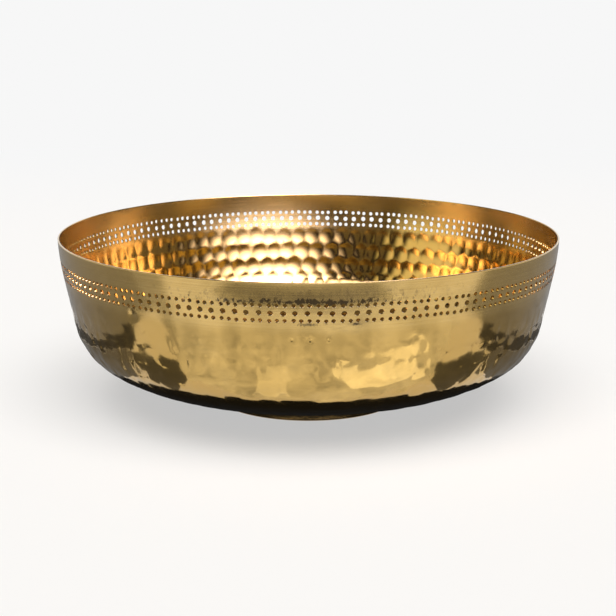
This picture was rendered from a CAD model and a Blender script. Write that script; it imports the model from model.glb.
# %% [markdown]
# # A hammered and pierced brass bowl
#
# A smith starts this bowl as a flat disc of sheet brass. The disc is punched with holes near its
# edge, raised into a bowl, and hammered from the inside until the marks cover it. A strip bent
# into a hoop is brazed underneath as a foot. The script follows the same order: a flat disc is
# drawn with its holes and hammer marks, and then every point of it is moved to where the raising
# puts it. Everything is in metres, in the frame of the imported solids.

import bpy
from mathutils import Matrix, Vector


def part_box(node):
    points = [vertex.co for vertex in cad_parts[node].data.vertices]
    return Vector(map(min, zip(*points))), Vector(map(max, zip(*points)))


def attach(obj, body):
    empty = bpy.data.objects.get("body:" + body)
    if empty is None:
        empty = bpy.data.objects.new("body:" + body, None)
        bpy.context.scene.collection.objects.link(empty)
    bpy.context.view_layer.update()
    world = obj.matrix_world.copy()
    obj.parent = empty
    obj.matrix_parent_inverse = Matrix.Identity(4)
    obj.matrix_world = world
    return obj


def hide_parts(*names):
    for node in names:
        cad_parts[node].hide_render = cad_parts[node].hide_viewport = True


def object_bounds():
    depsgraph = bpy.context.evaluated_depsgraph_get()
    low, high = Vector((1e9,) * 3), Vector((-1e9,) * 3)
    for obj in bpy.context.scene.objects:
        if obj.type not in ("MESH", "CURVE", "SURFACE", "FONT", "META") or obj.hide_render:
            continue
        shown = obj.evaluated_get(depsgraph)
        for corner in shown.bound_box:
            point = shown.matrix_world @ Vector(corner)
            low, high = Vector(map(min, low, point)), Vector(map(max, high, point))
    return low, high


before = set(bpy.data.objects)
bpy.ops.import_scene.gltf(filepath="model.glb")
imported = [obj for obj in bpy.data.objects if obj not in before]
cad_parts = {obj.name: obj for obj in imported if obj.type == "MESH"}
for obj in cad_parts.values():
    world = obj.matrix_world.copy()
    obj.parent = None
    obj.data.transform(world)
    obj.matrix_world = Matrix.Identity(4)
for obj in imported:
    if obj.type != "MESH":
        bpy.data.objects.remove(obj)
cad_low, cad_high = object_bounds()
print("solids span", [round(x, 4) for x in cad_low], "to", [round(x, 4) for x in cad_high])

# %% Import what the later cells use
import math
import random

import bmesh
import bpy
import numpy as np
from mathutils import Matrix, Vector
from mathutils.geometry import delaunay_2d_cdt
from mathutils.kdtree import KDTree

MM = 0.001

# %% [markdown]
# ## The raised shape, as a walk along the sheet
#
# The half section of the bowl is a level floor, two round curves and a straight wall, and above
# that a slice of a sphere that holds the pierced band. It could be drawn as a curve and spun. Here
# it is a function instead: it takes the distance walked along the sheet from the middle of the
# floor, and gives the place and the lean of the sheet there. With that, anything drawn on the flat
# disc can be put on the bowl. A lean of 0 is a plumb wall, and a quarter turn is a level floor.

# %% Sizes of the bowl
rim_radius = (cad_high.x - cad_low.x) / 2
rim_height = cad_high.z
sheet = 1.0 * MM
rim_lean = math.radians(3)
zone_height = 23 * MM
shoulder_radius = 37 * MM
belly_lean = math.radians(60.5)
belly_radius = 100 * MM
floor_height = 13 * MM
level = math.pi / 2

zone_radius = rim_radius / math.cos(rim_lean)
zone_centre = rim_height + zone_radius * math.sin(rim_lean)


def zone_lean(height):
    """Lean of the pierced zone's wall at a height above the table."""
    return math.asin((zone_centre - height) / zone_radius)


wall_lean = zone_lean(rim_height - zone_height)
shoulder_rise = shoulder_radius * (math.sin(belly_lean) - math.sin(wall_lean))
belly_rise = belly_radius * (math.sin(level) - math.sin(belly_lean))
straight_rise = rim_height - zone_height - floor_height - shoulder_rise - belly_rise
straight_length = straight_rise / math.cos(wall_lean)
floor_radius = (
    zone_radius * math.cos(wall_lean)
    - straight_rise * math.tan(wall_lean)
    - shoulder_radius * (math.cos(wall_lean) - math.cos(belly_lean))
    - belly_radius * math.cos(belly_lean)
)

# Distance walked from the middle of the floor to the end of each stretch of the section
floor_end = floor_radius
belly_end = floor_end + belly_radius * (level - belly_lean)
shoulder_end = belly_end + shoulder_radius * (belly_lean - wall_lean)
straight_end = shoulder_end + straight_length
rim_end = straight_end + zone_radius * (wall_lean - rim_lean)
print(f"the flat disc is {2 * rim_end / MM:.0f} mm across, the floor {2 * floor_radius / MM:.0f} mm")


# %% The walk along the sheet
def raised(walk, inward):
    """Radius and height of the sheet at a distance walked, some way inward of its outer face."""
    walk = np.asarray(walk, float)
    steps = [
        (floor_end, level, None),
        (belly_end, belly_lean, belly_radius),
        (shoulder_end, wall_lean, shoulder_radius),
        (straight_end, wall_lean, None),
        (rim_end + sheet, rim_lean, zone_radius),
    ]
    radius, height, lean = walk * 0, walk * 0, walk * 0
    start, at, turn = 0.0, Vector((0.0, floor_height)), level
    for end, new_turn, curve in steps:
        here = (walk >= start) & ((walk < end) | (end > rim_end))
        run = walk[here] - start
        if curve is None:
            lean[here] = turn
            radius[here] = at.x + run * math.sin(turn)
            height[here] = at.y + run * math.cos(turn)
            at = at + (end - start) * Vector((math.sin(turn), math.cos(turn)))
        else:
            centre = at - curve * Vector((math.cos(turn), -math.sin(turn)))
            angle = turn - run / curve
            lean[here] = angle
            radius[here] = centre.x + curve * np.cos(angle)
            height[here] = centre.y - curve * np.sin(angle)
            at = centre + curve * Vector((math.cos(new_turn), -math.sin(new_turn)))
            turn = new_turn
        start = end
    return radius - inward * np.cos(lean), height + inward * np.sin(lean)


def walk_to(height):
    """Distance walked to a height within the pierced zone or the straight wall."""
    if height < rim_height - zone_height:
        return straight_end - (rim_height - zone_height - height) / math.cos(wall_lean)
    return rim_end - zone_radius * (zone_lean(height) - rim_lean)


# %% [markdown]
# ## The punched band
#
# A punch with eight pins makes one group of holes per blow: three small, two large, three small.
# Seventy-three blows go round the wall. The holes could be cut with a boolean, which is slow and
# leaves ragged shading. As the sheet is drawn flat first, a hole is only a ring of points that the
# triangles stop at. Each hole is shifted by a hair, as a hand-held punch does.

# %% Rings of points for the punched holes
blow_count = 73
blow_turn = math.tau / blow_count
band_turn = math.radians(-91.4)
band_depth = 16.5 * MM
row_gap = 4.1 * MM
large_radius, small_radius = 1.55 * MM, 1.2 * MM
large_sides, small_sides = 16, 12
large_gap, small_gap = 6.6 * MM, 4.0 * MM
hole_slip, hole_spread = 0.12 * MM, 0.04
punch = random.Random(7)

small_row = (small_radius, small_sides, (-small_gap, 0, small_gap))
hole_rows = [
    (band_depth - row_gap, *small_row),
    (band_depth, large_radius, large_sides, (-large_gap / 2, large_gap / 2)),
    (band_depth + row_gap, *small_row),
]
lowest_row = walk_to(rim_height - band_depth - row_gap)
holes = []
for blow in range(blow_count):
    for depth, size, sides, places in hole_rows:
        walk = walk_to(rim_height - depth)
        around = raised([walk], 0)[0][0]
        for place in places:
            slip = [punch.gauss(0, hole_slip) for _ in range(2)]
            turn = band_turn + blow * blow_turn + (place + slip[0]) / around
            size_here = size * punch.uniform(1 - hole_spread, 1 + hole_spread)
            holes.append((walk + slip[1], turn, size_here, sides))
print(len(holes), "holes to punch")

# %% [markdown]
# ## The hammer marks
#
# A round-faced hammer leaves a shallow dish. The smith works in rows from the rim down, so each row
# bites into the row above: every dish keeps its round top, and its lower end is cut away, like fish
# scales. The hammer is also held a little tilted, so a dish is steeper at its top than at its foot.
# Noise or a bump map can't give such crisp arcs, and nor can a grid that doesn't follow them. So the
# blows are placed first, and the points of the mesh are then put in each dish and along its edges.
# A dish is kept as its distance walked, its turn round the axis and its depth.

# %% Where the hammer falls
dish_pitch = 10.1 * MM
dish_depth = 0.42 * MM
shallow_blow, deep_blow = 0.86, 1.1
first_row_height = 73.6 * MM
wander_down, wander_round = 0.35 * MM, 0.45 * MM
hammer = random.Random(11)

row_count = round(walk_to(first_row_height) / dish_pitch)
row_step = walk_to(first_row_height) / row_count
dishes = []
for row in range(row_count + 1):
    walk = walk_to(first_row_height) - row * row_step
    around = max(raised([walk], 0)[0][0], 0)
    in_row = max(1, round(math.tau * around / dish_pitch))
    start = hammer.random()
    for i in range(in_row):
        turn = (i + start) / in_row * math.tau
        if around > dish_pitch / 2:
            turn += hammer.gauss(0, wander_round) / around
        down = hammer.gauss(0, wander_down)
        depth = dish_depth * hammer.uniform(shallow_blow, deep_blow)
        dishes.append((max(walk + down, 0), turn, depth))
print(len(dishes), "hammer marks in", row_count + 1, "rows")

# %% Three slips of the punch and a dent, on the outside
# Each has its distance round from the front, its height, its radius and its depth
slips = [
    (-8.6 * MM, 70.7 * MM, 1.3 * MM, 0.28 * MM),
    (0.9 * MM, 70.7 * MM, 1.5 * MM, 0.36 * MM),
    (10.6 * MM, 70.7 * MM, 1.2 * MM, 0.24 * MM),
    (-103 * MM, 76.5 * MM, 4.0 * MM, 0.4 * MM),
]
front = -math.pi / 2
slip_walks = [walk_to(height) for _, height, _, _ in slips]
slip_turns = [slip[0] / raised([at], 0)[0][0] + front for slip, at in zip(slips, slip_walks)]
print(len(slips), "slips and dents")


# %% Places on the sheet, flat and raised
def on_disc(walk, turn):
    """A place on the flat disc, in millimetres, where the triangles are drawn."""
    return np.stack([walk * np.cos(turn), walk * np.sin(turn)], -1) / MM


def on_bowl(walk, turn, inward):
    """The same place on the raised bowl."""
    radius, height = raised(walk, inward)
    return np.stack([radius * np.cos(turn), radius * np.sin(turn), height], -1)


dish_walk, dish_turn, dish_deep = (np.array(x) for x in zip(*dishes))
dish_place = on_bowl(dish_walk, dish_turn, 0)
dish_up = (on_bowl(dish_walk + MM, dish_turn, 0) - dish_place) / MM
dish_round = np.stack([-np.sin(dish_turn), np.cos(dish_turn), np.zeros(len(dishes))], -1)
tree = KDTree(len(dishes))
for i, place in enumerate(dish_place):
    tree.insert(place, i)
tree.balance()

# %% The shape of a dish
steep_ball, flat_ball = 33 * MM, 48 * MM
tiny_square = 1e-12


def depths(places, marks):
    """Depth of marks at places: one value for each place and mark, where the two broadcast."""
    away = places - dish_place[marks]
    square = (away**2).sum(-1)
    upward = (away * dish_up[marks]).sum(-1) / np.sqrt(square + tiny_square)
    bend = 1 / flat_ball + (1 / steep_ball - 1 / flat_ball) * (1 + upward) / 2
    return dish_deep[marks] - square * bend / 2


def nearest_marks(places, count=7):
    """The dishes whose middles lie nearest to each place."""
    return np.array([[i for _, i, _ in tree.find_n(place, count)] for place in places])


# %% Find the edge of a dish
shortest, longest, trials = 0.5, 9.5, 37
reaches = np.linspace(shortest, longest, trials) * MM
tiny_rise = 1e-9


def dish_edge(i, near, angles):
    """How far dish i reaches at angles, and which of the near dishes stops it there, or -1."""
    heading = np.cos(angles)[:, None] * dish_up[i] + np.sin(angles)[:, None] * dish_round[i]
    along = dish_place[i] + reaches[None, :, None] * heading[:, None, :]
    own = depths(along, i)
    others = depths(along[:, :, None, :], near[None, None, :])
    gone = np.maximum(others.max(-1), 0) - own
    first = np.argmax(gone > 0, axis=1)
    rows = np.arange(len(angles))
    before, after = gone[rows, np.maximum(first - 1, 0)], gone[rows, first]
    back = np.clip(after / np.maximum(after - before, tiny_rise), 0, 1) * (reaches[1] - reaches[0])
    winner = near[others[rows, first].argmax(-1)]
    return reaches[first] - back, np.where(others[rows, first].max(-1) > 0, winner, -1)


# %% Points on a dish and along its edges
neighbours = 10
golden_turn = 0.618
inner_rings = ((0.4, 6), (0.78, 11))
edge_points = 16


def dish_points(i):
    """Points of dish i on the flat disc: its middle, two rings, and the edges that it owns."""
    near = np.array([k for _, k, _ in tree.find_n(dish_place[i], neighbours) if k != i])
    lead = (i * golden_turn) % 1
    made = [(0.0, 0.0)]
    for share, count in (*inner_rings, (1.0, edge_points)):
        angles = (np.arange(count) + lead) / count * math.tau
        far, neighbour = dish_edge(i, near, angles)
        owned = np.ones(count, bool) if share < 1 else neighbour < i
        up, sideways = share * far * np.cos(angles), share * far * np.sin(angles)
        made += list(zip(up[owned], sideways[owned]))
    made = np.array(made)
    walk, turn = dish_walk[i], dish_turn[i]
    if walk < floor_end:
        along = np.array([math.cos(turn), math.sin(turn)])
        across = np.array([-along[1], along[0]])
        middle = on_disc(np.array([walk]), np.array([turn]))
        return middle + (made[:, :1] * along + made[:, 1:] * across) / MM
    return on_disc(walk + made[:, 0], turn + made[:, 1] / raised([walk], 0)[0][0])


# %% Set out the rim, the holes and the plain band
rim_points = 432
plain_rings = (0.7 * MM, 2.6 * MM, 5.2 * MM, 8.0 * MM)
border_points, border_gap = 365, 2 * MM


def ring(walk, count, lead=0.0):
    """Evenly spaced points on a circle of the flat disc."""
    return on_disc(np.full(count, walk), (np.arange(count) + lead) / count * math.tau)


points, loops = [ring(rim_end, rim_points)], [rim_points]
for walk, turn, size, sides in holes:
    angle = np.arange(sides) / sides * math.tau
    around = raised([walk], 0)[0][0]
    points.append(on_disc(walk + size * np.sin(angle), turn + size * np.cos(angle) / around))
    loops.append(sides)
points += [ring(rim_end - gap, rim_points, n / 2) for n, gap in enumerate(plain_rings)]
points.append(ring(lowest_row - border_gap, border_points))
rings_end = sum(len(x) for x in points)
print(rings_end, "points in the rim, the holes and the plain band")

# %% Add the dishes and the slips, and join all points to triangles
slip_points, slip_rings = 12, (0.35, 0.7, 1.05)
clear_of_holes = 1.4 * MM
whole_disc, nearness = 0, 0.02

points += [dish_points(i) for i in range(len(dishes))]
clock = np.arange(slip_points) / slip_points * math.tau
for (_, _, size, _), slip_walk, slip_turn in zip(slips, slip_walks, slip_turns):
    across = size / raised([slip_walk], 0)[0][0]
    for share in slip_rings:
        up, along = share * size * np.sin(clock), share * across * np.cos(clock)
        points.append(on_disc(slip_walk + up, slip_turn + along))
points = np.concatenate(points)
# The rings stay whole, and points of dishes that reach into the pierced band are left out
keep = np.hypot(*points.T) < (lowest_row - clear_of_holes) / MM
keep[:rings_end] = True
points = points[keep]

edges, start = [], 0
for count in loops:
    edges += [(start + n, start + (n + 1) % count) for n in range(count)]
    start += count
flat_points, _, faces, *_ = delaunay_2d_cdt(
    [Vector(p) for p in points], edges, [], whole_disc, nearness, False)
print(len(flat_points), "points and", len(faces), "triangles on the flat disc")

# %% [markdown]
# ## Raising the sheet
#
# The triangles that fall inside a hole are dropped, the rest are extruded once, which gives the
# second face of the sheet and the walls of the holes and the rim, and then both faces are moved
# from the disc to the bowl. Outside, the bowl rests on a steel stake while it is hammered, which
# flattens the back of every mark to a facet. So the outside has the same pattern as the inside,
# but shallow and faceted, and it fades out towards the smooth band.

# %% Punch out the holes and give the sheet its two faces
hole_tree = KDTree(len(holes))
for n, (walk, turn, size, _) in enumerate(holes):
    hole_tree.insert((*on_disc(np.array(walk), np.array(turn)), 0), n)
hole_tree.balance()
below_holes = (lowest_row - 2 * small_radius) / MM
well_inside = 0.97


def punched(face):
    """True if a triangle of the flat disc lies inside a hole."""
    middle = sum((flat_points[v] for v in face), Vector((0, 0))) / len(face)
    if middle.length < below_holes:
        return False
    _, n, _ = hole_tree.find((*middle, 0))
    walk, turn, size, _ = holes[n]
    around = raised([walk], 0)[0][0]
    off_turn = (math.atan2(middle.y, middle.x) - turn + math.pi) % math.tau - math.pi
    return math.hypot(middle.length * MM - walk, off_turn * around) < size * well_inside


blank = bpy.data.meshes.new("hammered_bowl")
blank.from_pydata([(*p, 0) for p in flat_points], [], [f for f in faces if not punched(f)])
bm = bmesh.new()
bm.from_mesh(blank)
bmesh.ops.delete(bm, geom=[v for v in bm.verts if not v.link_faces], context="VERTS")
inner = list(bm.verts)
made = bmesh.ops.extrude_face_region(bm, geom=bm.faces[:])["geom"]
outer = [v for v in made if isinstance(v, bmesh.types.BMVert)]
print(len(inner), "points inside and", len(outer), "outside")

# %% The facets outside
facet_ball, facet_tilt, facet_swell = 95 * MM, 0.028, 0.2 * MM
crease, faintest = 0.016 * MM, -30
planisher = np.random.default_rng(5)
tilts = planisher.normal(0, facet_tilt, (len(dishes), 2))


def facets(places):
    """Height of the facets outside: each is nearly flat and tilted by chance, with a crease between."""
    marks = nearest_marks(places)
    places = places[:, None, :]
    depth = depths(places, marks)
    share = np.exp(np.clip((depth - depth.max(1, keepdims=True)) / crease, faintest, 0))
    away = places - dish_place[marks]
    lean = (tilts[marks, 0] * (away * dish_up[marks]).sum(-1)
            + tilts[marks, 1] * (away * dish_round[marks]).sum(-1))
    height = facet_swell - (away**2).sum(-1) / (2 * facet_ball) + lean
    return (share * height).sum(1) / share.sum(1)


# %% Move every point from the disc to the bowl
calm_height, rough_height = 78 * MM, 56 * MM
slip_fall = 1.6


def disc_places(verts):
    """Distances walked and turns of points that still lie on the flat disc."""
    flat = np.array([v.co.to_2d() for v in verts]) * MM
    return np.hypot(*flat.T), np.arctan2(flat[:, 1], flat[:, 0])


walk, turn = disc_places(inner)
places = on_bowl(walk, turn, 0)
relief = np.maximum(depths(places[:, None, :], nearest_marks(places)).max(1), 0)
for v, place in zip(inner, on_bowl(walk, turn, sheet - relief)):
    v.co = place
walk, turn = disc_places(outer)
places = on_bowl(walk, turn, 0)
hammered_share = np.clip((calm_height - places[:, 2]) / (calm_height - rough_height), 0, 1)
inward = -hammered_share * np.maximum(facets(places), 0)
for (*_, size, dent), slip_walk, slip_turn in zip(slips, slip_walks, slip_turns):
    away = np.linalg.norm(places - on_bowl([slip_walk], slip_turn, 0), axis=-1)
    inward = inward + dent * np.exp(-((away / size * slip_fall) ** 2))
for v, place in zip(outer, on_bowl(walk, turn, inward)):
    v.co = place
# The inner edge of a leaning rim would stand proud, so it is filed level
for v in inner:
    v.co.z = min(v.co.z, rim_height)
bmesh.ops.recalc_face_normals(bm, faces=bm.faces[:])
print("the sheet has", sum(len(f.verts) - 2 for f in bm.faces), "triangles")

# %% [markdown]
# ## The rim
#
# The rim is the cut edge of the disc, filed so that it doesn't hurt a hand. A real edge is never
# perfectly sharp, and the thin line of light along it comes from its rounding. A small bevel on
# the two edge loops gives that line.

# %% Round the cut edge
rim_rounding = 0.22 * MM
at_rim = rim_height - 0.02 * MM
cut_angle = math.radians(50)
rim_edges = [e for e in bm.edges if all(v.co.z > at_rim for v in e.verts)]
rim_edges = [e for e in rim_edges if e.calc_face_angle(0) > cut_angle]
bmesh.ops.bevel(bm, geom=rim_edges, offset=rim_rounding, offset_type="OFFSET", segments=2,
                profile=0.5, affect="EDGES", clamp_overlap=True, material=-1)
print(len(rim_edges), "edges of the rim rounded")

# %% Finish the bowl as an object
def finish_mesh(bm, name, node, sharp=math.radians(35)):
    """Turns a bmesh into a smooth piece that stands for a solid of the frame."""
    mesh = bpy.data.meshes.new(name)
    bm.to_mesh(mesh)
    bm.free()
    mesh.shade_smooth()
    mesh.set_sharp_from_angle(angle=sharp)
    piece = bpy.data.objects.new(name, mesh)
    bpy.context.scene.collection.objects.link(piece)
    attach(piece, "root")
    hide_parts(node)
    print(name, "has", sum(len(p.vertices) - 2 for p in mesh.polygons), "triangles")
    return piece


bowl = finish_mesh(bm, "hammered_bowl", "bowl_shell")

# %% [markdown]
# ## The foot ring and its braze
#
# The foot is a strip bent into a hoop, so its half section is a thin leaning bar with softened
# edges. Spinning the section once round the axis makes the hoop. The braze between hoop and bowl
# is drawn the same way, with a hollow fillet on each side, as molten filler metal leaves it.

# %% Spin a half section into a ring
touching = 0.001 * MM


def spun_ring(section, steps=180):
    """A closed ring from a half section, given as (radius, height) points in order."""
    bm = bmesh.new()
    verts = [bm.verts.new((r, 0, z)) for r, z in section]
    loop = [bm.edges.new((a, b)) for a, b in zip(verts, verts[1:] + verts[:1])]
    bmesh.ops.spin(bm, geom=verts + loop, cent=(0, 0, 0), axis=(0, 0, 1), dvec=(0, 0, 0),
                   angle=math.tau, steps=steps, use_merge=True, use_duplicate=False)
    bmesh.ops.remove_doubles(bm, verts=bm.verts[:], dist=touching)
    bmesh.ops.recalc_face_normals(bm, faces=bm.faces[:])
    return bm


# %% The foot ring
foot_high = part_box("foot_ring")[1]
foot_radius, foot_top = foot_high.x, foot_high.z
foot_lean = math.radians(6)
strip = 1.2 * MM
edge_round = 0.3 * MM
corner_points, curve_points = 5, 7


def foot_radius_at(height):
    """Outer radius of the foot ring at a height: it leans in towards its top."""
    return foot_radius - height * math.tan(foot_lean)


bottom = [(foot_radius - edge_round * (1 - math.cos(a)), edge_round * (1 - math.sin(a)))
          for a in np.linspace(level, 0, corner_points)]
outside = [(foot_radius_at(z), z) for z in np.linspace(edge_round * 2, foot_top, curve_points)]
inside = [(r - strip, z) for r, z in outside[::-1]] + [(foot_radius - strip, edge_round)]
inside.append((foot_radius - strip + edge_round, 0))
foot = finish_mesh(spun_ring(bottom + outside + inside), "foot_ring_hoop", "foot_ring")

# %% The braze
braze_low, braze_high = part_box("braze_seam")
fillet = braze_high.z - braze_low.z
seat_out, seat_in = foot_radius_at(foot_top), foot_radius_at(foot_top) - strip
hollow = [(fillet * (1 - math.cos(a)), floor_height - fillet * (1 - math.sin(a)))
          for a in np.linspace(0, level, curve_points)]
right = [(seat_out + out, z) for out, z in hollow]
left = [(seat_in - out, z) for out, z in hollow]
braze = finish_mesh(spun_ring(right + left[::-1]), "braze_fillet", "braze_seam")

# %% [markdown]
# ## Brass
#
# Polished brass is a mirror with a colour, so most of its look is what stands round it. What the
# material adds is what makes it real: fine turning lines that run round the smooth band, colour
# that is a little uneven, darker stains and smudges, and a clear lacquer over it all. An image could
# hold all this, but noise stays sharp at any distance. The patterns are built from the place on the
# object, and the noise for the turning lines is squeezed in height, so that they run round.

# %% Shader maths as Python expressions
class Field:
    """A socket in a node tree, with the arithmetic of shader maths."""

    def __init__(self, tree, socket):
        self.tree, self.socket = tree, socket

    def node(self, kind, settings=(), out=0, **inputs):
        """Adds a node, sets it up and links its inputs, and gives one of its outputs."""
        made = self.tree.nodes.new("ShaderNode" + kind)
        for key, value in dict(settings).items():
            setattr(made, key, value)
        for key, value in inputs.items():
            slot = made.inputs[int(key[1:])] if key[1:].isdigit() else made.inputs[key.replace("_", " ")]
            if isinstance(value, Field):
                self.tree.links.new(value.socket, slot)
            else:
                slot.default_value = value
        return Field(self.tree, made.outputs[out])

    def math(self, operation, *others):
        """Works on this field, and on others or numbers where the operation needs them."""
        values = {f"i{n}": x for n, x in enumerate((self, *others))}
        return self.node("Math", {"operation": operation}, **values)

    def __add__(self, other):
        return self.math("ADD", other)

    def __sub__(self, other):
        return self.math("SUBTRACT", other)

    def __rsub__(self, other):
        return (self * -1) + other

    def __mul__(self, other):
        return self.math("MULTIPLY", other)

    def __truediv__(self, other):
        return self.math("DIVIDE", other)

    __radd__, __rmul__ = __add__, __mul__

    def between(self, low, high):
        """0 below low, 1 above high, and smooth between."""
        return self.node("MapRange", {"interpolation_type": "SMOOTHSTEP"}, Value=self,
                         From_Min=low, From_Max=high)

    def mix(self, a, b):
        """Colour a where this field is 0, colour b where it is 1."""
        colours = {key: c if isinstance(c, Field) else (*c, 1) for key, c in (("i6", a), ("i7", b))}
        return self.node("Mix", {"data_type": "RGBA"}, out=2, Factor=self, **colours)


def new_material(name):
    """A material with its Principled shader, and a field to start its expressions from."""
    made = bpy.data.materials.new(name)
    made.use_nodes = True
    shader = made.node_tree.nodes["Principled BSDF"]
    return made, shader, Field(made.node_tree, None)


def feed(shader, **inputs):
    """Links fields to a shader's sockets, and sets plain values on the sockets themselves."""
    for key, value in inputs.items():
        slot = shader.inputs[key.replace("_", " ")]
        if isinstance(value, Field):
            value.tree.links.new(value.socket, slot)
        else:
            slot.default_value = value


# %% Noise that is stretched along the axes
def noise(place, stretch, scale, detail, rough):
    """Noise with features of 1 / scale metres, stretched along the axes."""
    at = place.node("VectorMath", {"operation": "MULTIPLY"}, i0=place, i1=stretch)
    return at.node("TexNoise", Vector=at, Scale=scale, Detail=detail, Roughness=rough)


# %% Smudges on the front
# Polish dust has dulled the front: a streak just over the holes, a fainter one up to the rim, and
# spots under the holes. Each has its middle, one over its half length on each axis, and strength.
smudges = [
    ((0.004, -0.148, 0.0917), (14.5, 4, 480), 1.5),
    ((0.004, -0.148, 0.0945), (14, 4, 200), 0.6),
    ((0.0, -0.146, 0.0795), (90, 20, 750), 0.9),
    ((0.0245, -0.143, 0.0795), (300, 60, 850), 0.9),
]
body, raggedness = 1.2, 4.5


def smudged(place):
    """How much of the surface is smudged: each smudge is a blob with a ragged, spotty edge."""
    grime = noise(place, (1.7, 1.7, 1), 250, 5, 0.72)
    smudge = 0
    for middle, shape, strength in smudges:
        off = place.node("VectorMath", {"operation": "SUBTRACT"}, i0=place, i1=middle)
        off = off.node("VectorMath", {"operation": "MULTIPLY"}, i0=off, i1=shape)
        away = off.node("VectorMath", {"operation": "LENGTH"}, out="Value", i0=off)
        blob = (1 - away) * body + (grime - 0.5) * raggedness
        smudge = smudge + blob.between(0.1, 1.3) * strength
    return smudge


# %% Brass in three finishes
band_foot, band_start = 72 * MM, 80 * MM
inside_middle = (0, 0, 0.15)
lacquer, lacquer_haze = 0.65, 0.1
relief_strength, relief_depth = 0.12, 0.2 * MM


def brass(name, tones, shine_out, shine_in, turned, stained):
    """Lacquered brass with turning lines, uneven colour, stains and fine wear."""
    made, shader, start = new_material(name)
    bright, deep, stain = tones
    place = start.node("TexCoord", out="Object")
    height = place.node("SeparateXYZ", i0=place, out="Z")

    # The stretch, the scale, the detail and the roughness of each noise
    lines = noise(place, (4, 4, 520), 3.2, 4, 0.7)
    fine_lines = noise(place, (9, 9, 2100), 2.0, 2, 0.6)
    patches = noise(place, (1, 1, 1.6), 21, 4, 0.6)
    specks = noise(place, (1, 1, 1), 420, 3, 0.7)
    smears = noise(place, (1, 1, 4), 60, 6, 0.75)
    wrinkles = noise(place, (1, 1, 1), 190, 3, 0.6)

    from_middle = place.node("VectorMath", {"operation": "SUBTRACT"}, i0=place, i1=inside_middle)
    normal = start.node("NewGeometry", out="Normal")
    outside = normal.node("VectorMath", {"operation": "DOT_PRODUCT"}, out="Value",
                          i0=normal, i1=from_middle).between(-0.001, 0.001)
    smooth_band = height.between(band_foot, band_start)
    turned_share = smooth_band * turned

    smudge = smudged(place) * stained * outside
    stains = patches.between(0.54, 0.76) * smears.between(0.4, 0.7) * stained * 0.6
    dark = (stains + smudge + specks.between(0.66, 0.8) * 0.2 * stained).math("MINIMUM", 1)
    tone = (patches * 0.55 + lines * turned_share * 0.45).between(0.22, 0.62)
    colour = dark.mix(tone.mix(deep, bright), stain)
    shine = outside * (shine_out - shine_in) + shine_in
    rough = shine + patches * 0.08 + lines * turned_share * 0.1 + dark * 0.2 - 0.04

    grain = (lines * 0.8 + fine_lines * 0.35) * turned_share + specks * 0.06
    grain = grain + wrinkles.between(0.5, 0.72) * (1 - smooth_band) * outside * 0.5 + dark * 0.4
    bump = grain.node("Bump", Strength=relief_strength, Distance=relief_depth, Height=grain)
    feed(shader, Base_Color=colour, Roughness=rough, Normal=bump, Metallic=1.0,
         Coat_Weight=lacquer, Coat_Roughness=lacquer_haze)
    return made


# The bright, the deep and the stained tone of each finish
sheet_tones = (0.70, 0.47, 0.155), (0.54, 0.34, 0.085), (0.07, 0.045, 0.016)
strip_tones = (0.66, 0.45, 0.17), (0.52, 0.33, 0.11), (0.15, 0.08, 0.03)
braze_tones = (0.56, 0.41, 0.20), (0.40, 0.27, 0.12), (0.12, 0.07, 0.03)
finishes = {
    "hammered_bowl": brass("sheet_brass", sheet_tones, shine_out=0.115, shine_in=0.135,
                           turned=1.0, stained=0.9),
    "foot_ring_hoop": brass("strip_brass", strip_tones, shine_out=0.14, shine_in=0.2,
                            turned=0.5, stained=0.8),
    "braze_fillet": brass("braze", braze_tones, shine_out=0.3, shine_in=0.3,
                          turned=0.0, stained=1.0),
}
for piece in (bowl, foot, braze):
    piece.data.materials.clear()
    piece.data.materials.append(finishes[piece.name])
print(len(finishes), "finishes")

# %% [markdown]
# ## Floor, backdrop and light
#
# Metal shows its surroundings, so the studio is part of the finish. A pale floor under one large
# soft light from above gives the floor its even tone and the bowl its shadow. That light alone
# would leave the metal blank, because a bowl on a white floor mirrors nothing but white. So the
# bowl is dressed as silverware is: lit panels show inside, as the white patch among the marks,
# and cards are laid on the floor round it, which the metal shows and the camera doesn't.

# %% Planes of the studio
def stage_object(bm, name):
    """Turns a bmesh into an object of the studio, which is no part of the bowl."""
    mesh = bpy.data.meshes.new(name)
    bm.to_mesh(mesh)
    bm.free()
    made = bpy.data.objects.new(name, mesh)
    bpy.context.scene.collection.objects.link(made)
    return made


def stage_plane(name, width, height, place=(0, 0, 0), turn=0.0):
    """A level plane, or one that is turned about the X axis, with its middle at place."""
    bm = bmesh.new()
    bmesh.ops.create_grid(bm, x_segments=1, y_segments=1, size=0.5)
    bmesh.ops.scale(bm, vec=(width, height, 1), verts=bm.verts[:])
    bmesh.ops.rotate(bm, cent=(0, 0, 0), matrix=Matrix.Rotation(turn, 3, "X"), verts=bm.verts[:])
    bmesh.ops.translate(bm, vec=place, verts=bm.verts[:])
    return stage_object(bm, name)


# %% The floor and the backdrop
pale, matt = 0.93, 0.86
floor_size, floor_drop = 30.0, 0.05 * MM
backdrop_away, backdrop_high = 12.0, 6.0


def seen_rays(start):
    """1 for rays that show the surface: straight to the camera, mirrored or through glass."""
    kinds = ("Camera", "Glossy", "Transmission")
    camera_ray, glossy_ray, glass_ray = (start.node("LightPath", out=f"Is {kind} Ray") for kind in kinds)
    return (camera_ray + glossy_ray + glass_ray).math("MINIMUM", 1)


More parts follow.
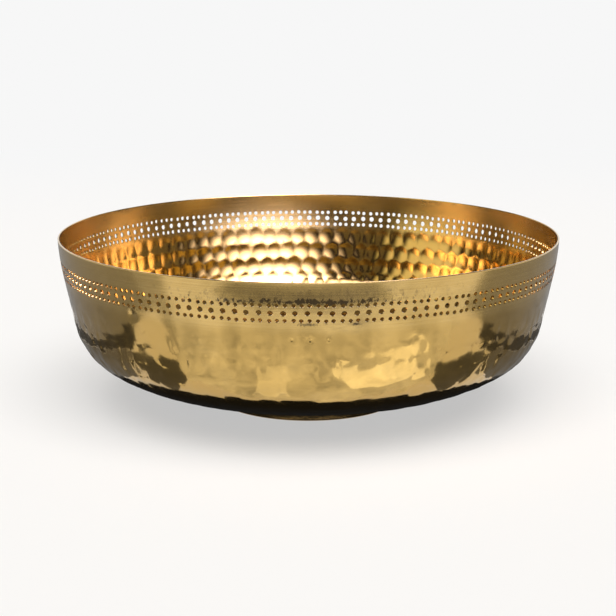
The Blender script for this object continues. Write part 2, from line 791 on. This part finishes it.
def pale_surface(name, fades_from, fades_to, least=0.0):
    """Matt near the object, fading to an even background, of which at least a share is mixed in."""
    made, shader, start = new_material(name)
    place = start.node("TexCoord", out="Object")
    away = place.node("VectorMath", {"operation": "LENGTH"}, out="Value", i0=place)
    share = seen_rays(start) * (away.between(fades_from, fades_to) * (1 - least) + least)
    tree = made.node_tree
    feed(shader, Base_Color=(matt, matt, matt, 1), Roughness=1.0, Specular_IOR_Level=0.0)
    even = start.node("Emission", Color=(pale, pale, pale, 1), Strength=1.0)
    both = start.node("MixShader", i0=share, i1=Field(tree, shader.outputs[0]), i2=even)
    tree.links.new(both.socket, tree.nodes["Material Output"].inputs["Surface"])
    return made


floor = stage_plane("studio_floor", floor_size, floor_size, (0, 0, -floor_drop))
floor.data.materials.append(pale_surface("matt_floor", fades_from=0.45, fades_to=1.3, least=0.55))
backdrop = stage_plane("studio_backdrop", floor_size, backdrop_high,
                       (0, backdrop_away, backdrop_high / 2), math.pi / 2)
backdrop.data.materials.append(pale_surface("matt_backdrop", fades_from=0.1, fades_to=0.2))
print("floor", floor_size, "m across, backdrop", backdrop_away, "m behind the bowl")

# %% [markdown]
# ### Cards on the floor
#
# A black mat under the belly gives the bowl its dark lower edge, and it makes every facet that
# crosses the edge of the mat stand out. Grey cards at the sides keep the wall from going blank
# there, and a black strip among them draws a dark streak down it. In front lies a sheet of creased
# paper, so that neighbouring facets differ a little. A dim card further out darkens the pierced
# band, two bright ones close to the mat light the wall, and one on the left shades it there.

# %% Cards that only mirrors show
darkest_fold = 0.05
first_lift, layer_gap = 0.3 * MM, 0.1 * MM


def only_in_mirrors(made):
    """Hides an object from the camera, from matt surfaces, from glass and from shadows."""
    for sight in ("camera", "diffuse", "transmission", "shadow"):
        setattr(made, f"visible_{sight}", False)


def glowing(name):
    """A black material that gives off light of its own, whose colour is still to be set."""
    made, shader, start = new_material(name)
    feed(shader, Base_Color=(0, 0, 0, 1), Specular_IOR_Level=0.0, Roughness=1.0, Emission_Strength=1.0)
    return made, shader, start


def card(name, corners, tone, creased=0.0, layer=0):
    """A card on the floor, from corners in millimetres; one that lies on others has a higher layer."""
    lift = first_lift + layer * layer_gap
    bm = bmesh.new()
    bm.faces.new([bm.verts.new((x * MM, y * MM, lift)) for x, y in corners])
    bmesh.ops.recalc_face_normals(bm, faces=bm.faces[:])
    made = stage_object(bm, name)
    only_in_mirrors(made)
    surface, shader, start = glowing(name)
    if creased:
        place = start.node("TexCoord", out="Object")
        folds = (noise(place, (1, 1, 1), 30, 5, 0.65) - 0.5) * 2 * creased + 1
        light = (folds * tone).math("MAXIMUM", darkest_fold)
        feed(shader, Emission_Color=light.node("CombineColor", i0=light, i1=light, i2=light))
    else:
        feed(shader, Emission_Color=(tone, tone, tone, 1))
    made.data.materials.append(surface)


# %% Lay out the cards
mat_radius, mat_corners = 130, 48
mat_turns = np.linspace(0, math.tau, mat_corners + 1)[:-1]
card("mat_card", [(mat_radius * math.cos(a), mat_radius * math.sin(a)) for a in mat_turns], 0.012)
paper = [(-330, -600), (330, -600), (300, -155), (150, -155), (98, -131), (0, -131), (-98, -131),
         (-150, -155), (-300, -155)]
card("paper_card", paper, 0.9, 1.1)
dim = [(-235, -440), (200, -440), (175, -300), (-210, -300)]
card("dim_card", dim, 0.24, 1.8, layer=1)
glow_left = [(-52, -210), (-18, -215), (-14, -140), (-40, -137)]
card("glow_card_left", glow_left, 1.25, 0.5, layer=1)
glow_right = [(30, -205), (150, -190), (112, -142), (36, -150)]
card("glow_card_right", glow_right, 1.7, 0.6, layer=1)
shade_left = [(-138, -149), (-620, -352), (-620, -156), (-150, -156)]
card("shade_card_left", shade_left, 0.44, 0.6, layer=2)

# The cards that lie on both sides: tone, creases and the corners of the right one
side_cards = {
    "wedge": (0.12, 0.5, [(88, -93), (195, -80), (185, -112), (140, -150), (100, -128)]),
    "strip": (0.07, 0.0, [(200, -100), (228, -100), (222, 40), (205, 170), (180, 170), (196, 40)]),
    "near": (0.17, 0.3, [(130, -80), (199, -80), (195, 40), (179, 170), (102, 170)]),
    "far": (0.29, 0.4, [(229, -154), (620, -154), (620, 600), (190, 600), (206, 170), (223, 40)]),
}
for side, word in ((-1, "left"), (1, "right")):
    for kind, (tone, creased, corners) in side_cards.items():
        card(f"{kind}_card_{word}", [(side * x, y) for x, y in corners], tone, creased)

# %% [markdown]
# ### The light and the lit panels
#
# A light can be hidden from matt surfaces, from mirrors, or from both. The light from above works
# on the floor alone. The softboxes are panels that give off light and show in the metal alone, so
# each can be set by itself. A softbox is brightest in its middle, so a panel fades to its edges, and
# the marks then show a soft patch and not a hard rectangle.

# %% The room and the places of the lights
room_colour, room_strength = (1.0, 0.86, 0.64, 1), 0.18
world = bpy.data.worlds.new("studio_room")
bpy.context.scene.world = world
world.use_nodes = True
room = world.node_tree.nodes["Background"]
room.inputs["Color"].default_value = room_colour
room.inputs["Strength"].default_value = room_strength


def face_bowl(made, right, up, away):
    """Puts a light or a panel at angles right of the camera's side and up, turned to the bowl."""
    right, up = math.radians(right), math.radians(up)
    made.location = (away * math.cos(up) * math.sin(right), -away * math.cos(up) * math.cos(right),
                     away * math.sin(up))
    made.rotation_euler = (-made.location).to_track_quat("-Z", "Y").to_euler()


# %% Light the floor and hang the panels
sun_right, sun_up, sun_away = 8, 66, 3.0
sun_width, sun_strength, sun_colour = math.radians(64), 3.3, (1.0, 0.985, 0.97)


def softbox(name, right, up, brightness, soft, colour, away=2.0):
    """A lit cloth panel that only mirrors show, from angles (from, to) across and up."""
    width, height = (2 * away * math.tan(math.radians(b - a) / 2) for a, b in (right, up))
    panel = stage_plane(name, width, height)
    face_bowl(panel, sum(right) / 2, sum(up) / 2, away)
    only_in_mirrors(panel)
    cloth, shader, start = glowing(name)
    place = start.node("TexCoord", out="Object")
    light = brightness
    for axis, length in (("X", width), ("Y", height)):
        off = place.node("SeparateXYZ", out=axis, i0=place).math("ABSOLUTE")
        edge = (1 - off / (length / 2)).between(0, soft)
        light = edge * edge * light
    red, green, blue = (light * share for share in colour)
    feed(shader, Emission_Color=light.node("CombineColor", i0=red, i1=green, i2=blue))
    panel.data.materials.append(cloth)


sun = bpy.data.objects.new("overhead_light", bpy.data.lights.new("overhead_light", "SUN"))
bpy.context.scene.collection.objects.link(sun)
face_bowl(sun, sun_right, sun_up, sun_away)
sun.data.angle, sun.data.energy, sun.data.color = sun_width, sun_strength, sun_colour
sun.visible_glossy = False
softbox("window_softbox", (-22, 72), (0, 82), brightness=17.0, soft=1.0, colour=(1.0, 0.92, 1.25))
softbox("left_softbox", (-98, -38), (-2, 58), brightness=1.3, soft=0.65, colour=(1.0, 0.95, 0.7))
softbox("high_left_softbox", (-56, -6), (34, 72), brightness=7.0, soft=0.9, colour=(1.0, 0.92, 1.2))
print("one light on the floor, three panels for the metal")

# %% [markdown]
# ## The camera
#
# A camera about a metre away and a little above the rim sees over the front edge to the marks on
# the far wall.

# %% Aim the camera
camera_away, camera_high, camera_tilt = 0.9045, 0.2624, math.radians(77.06)
film_width, lens, sideways = 36.0, 88.6, -0.0007
camera = bpy.data.objects.new("camera", bpy.data.cameras.new("camera"))
camera.location = (0, -camera_away, camera_high)
camera.rotation_euler = (camera_tilt, 0, 0)
camera.data.sensor_width, camera.data.lens, camera.data.shift_x = film_width, lens, sideways
bpy.context.scene.collection.objects.link(camera)
bpy.context.scene.camera = camera
bpy.context.scene.view_settings.view_transform = "Standard"
print(f"the camera is {camera_away / rim_radius:.1f} radii of the bowl away")
